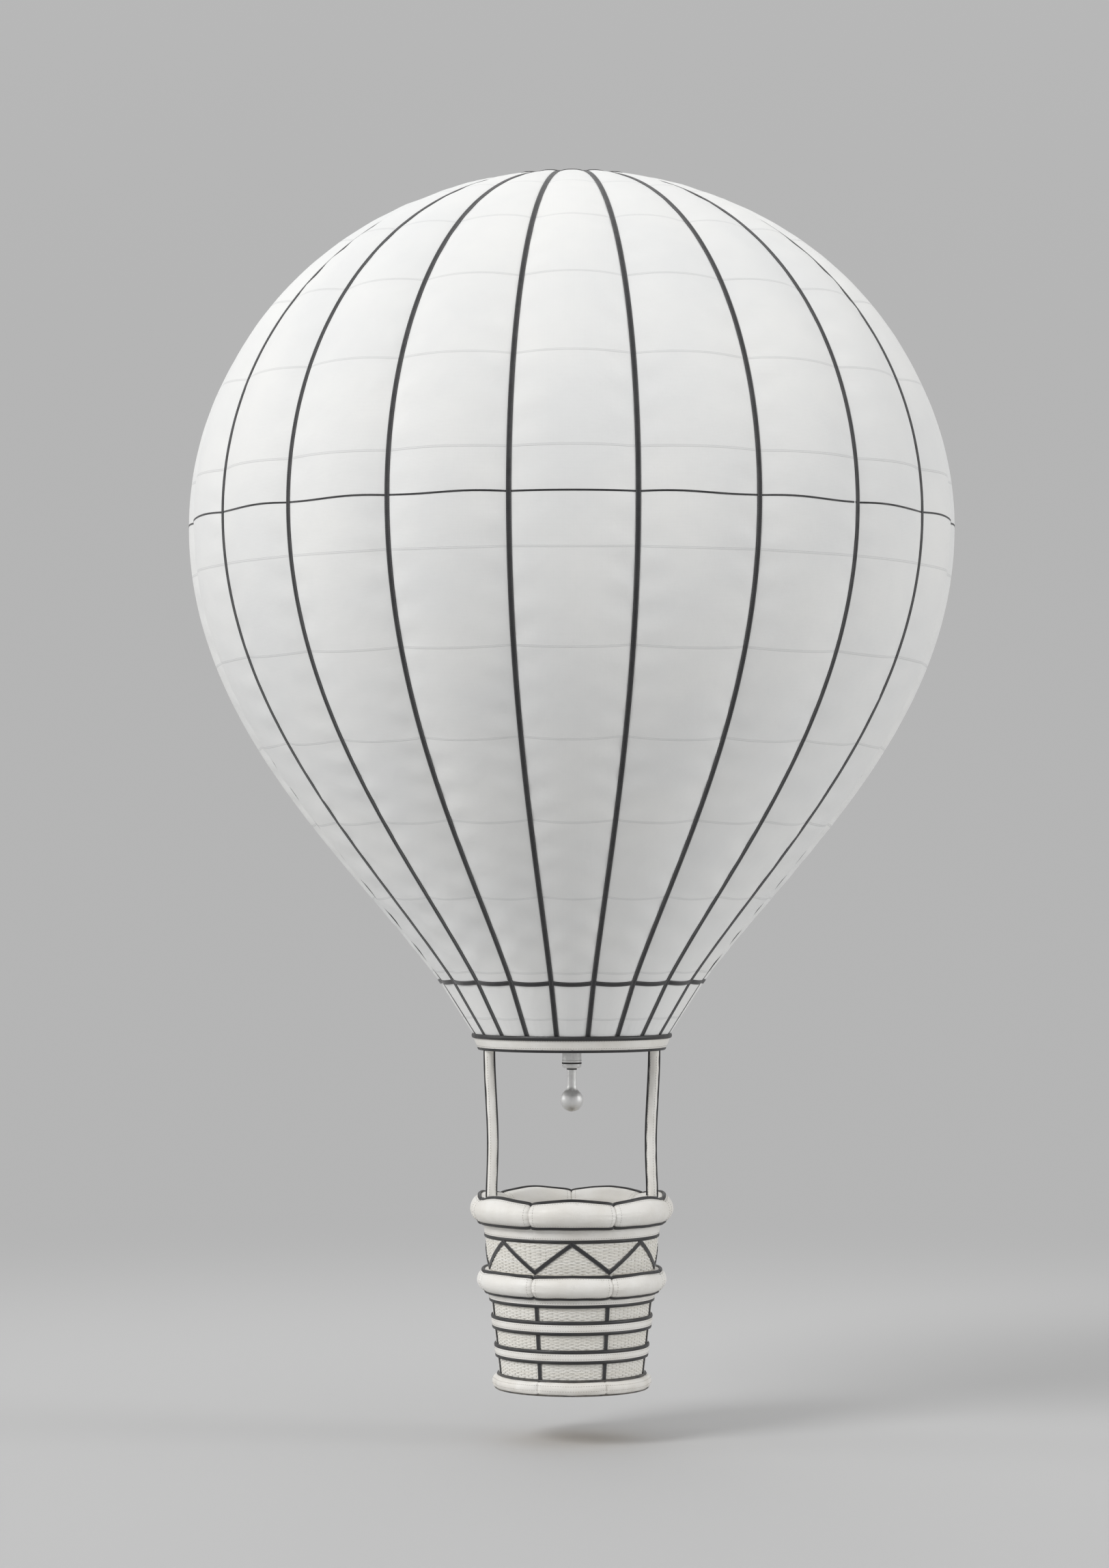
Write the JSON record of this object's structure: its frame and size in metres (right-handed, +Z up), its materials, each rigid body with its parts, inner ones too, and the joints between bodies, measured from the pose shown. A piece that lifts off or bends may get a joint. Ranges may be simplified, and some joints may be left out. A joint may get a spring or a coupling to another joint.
{
  "type": "hot air balloon",
  "caption": "Hot air balloon: a lobed envelope of gores with a crown vent, a gimballed burner in the mouth ring and a round wicker basket on posts.",
  "frame": {"origin": "on the balloon's upright axis at the envelope's widest level, in the air inside it", "axes": "+Z up along the axis, -Y is the front, +X is to the right as seen from the front"},
  "size_m": [11.957, 11.957, 19.04],
  "materials": {
    "envelope_fabric": "white coated ripstop cloth",
    "tape": "black woven webbing",
    "white_leather": "white padded leather, satin",
    "pale_wicker": "bleached woven wicker",
    "steel": "brushed",
    "floor_board": "sealed board"
  },
  "bodies": {
    "balloon": {"gore_01": "envelope_fabric", "gore_02": "envelope_fabric", "gore_03": "envelope_fabric", "gore_04": "envelope_fabric", "gore_05": "envelope_fabric", "gore_06": "envelope_fabric", "gore_07": "envelope_fabric", "gore_08": "envelope_fabric", "gore_09": "envelope_fabric", "gore_10": "envelope_fabric", "gore_11": "envelope_fabric", "gore_12": "envelope_fabric", "gore_13": "envelope_fabric", "gore_14": "envelope_fabric", "gore_15": "envelope_fabric", "gore_16": "envelope_fabric", "gore_17": "envelope_fabric", "gore_18": "envelope_fabric", "gore_19": "envelope_fabric", "gore_20": "envelope_fabric", "skirt": "envelope_fabric", "load_tapes": "tape", "zigzag_strap": "tape", "stake_1": "tape", "stake_2": "tape", "stake_3": "tape", "stake_4": "tape", "stake_5": "tape", "stake_6": "tape", "stake_7": "tape", "post_1": "white_leather", "post_2": "white_leather", "post_3": "white_leather", "post_4": "white_leather", "mouth_ring": "white_leather", "rim_roll": "white_leather", "cuff_band": "white_leather", "mid_roll": "white_leather", "base_ring": "white_leather", "hoop_1": "white_leather", "hoop_2": "white_leather", "hoop_3": "white_leather", "basket_wall": "pale_wicker", "upper_panel": "pale_wicker", "lower_weave": "pale_wicker", "crown_ring": "steel", "burner_bar_left": "steel", "burner_bar_right": "steel", "basket_floor": "floor_board"},
    "vent": {"vent_panel": "envelope_fabric"},
    "gimbal": {"gimbal_ring": "steel"},
    "burner": {"burner_can": "steel", "burner_bulb": "steel"}
  },
  "joints": [
    {"name": "vent_slide", "type": "slide", "parent": "balloon", "child": "vent", "axis": [0, 0, -1], "range_m": [0, 0.6], "stiffness_N_per_m": 50, "springref_m": -1},
    {"name": "gimbal_tilt", "type": "hinge", "parent": "balloon", "child": "gimbal", "pos_m": [0, 0, -8.07], "axis": [1, 0, 0], "range_deg": [-20, 20]},
    {"name": "burner_tilt", "type": "hinge", "parent": "gimbal", "child": "burner", "pos_m": [0, 0, -8.07], "axis": [0, 1, 0], "range_deg": [-20, 20]}
  ]
}
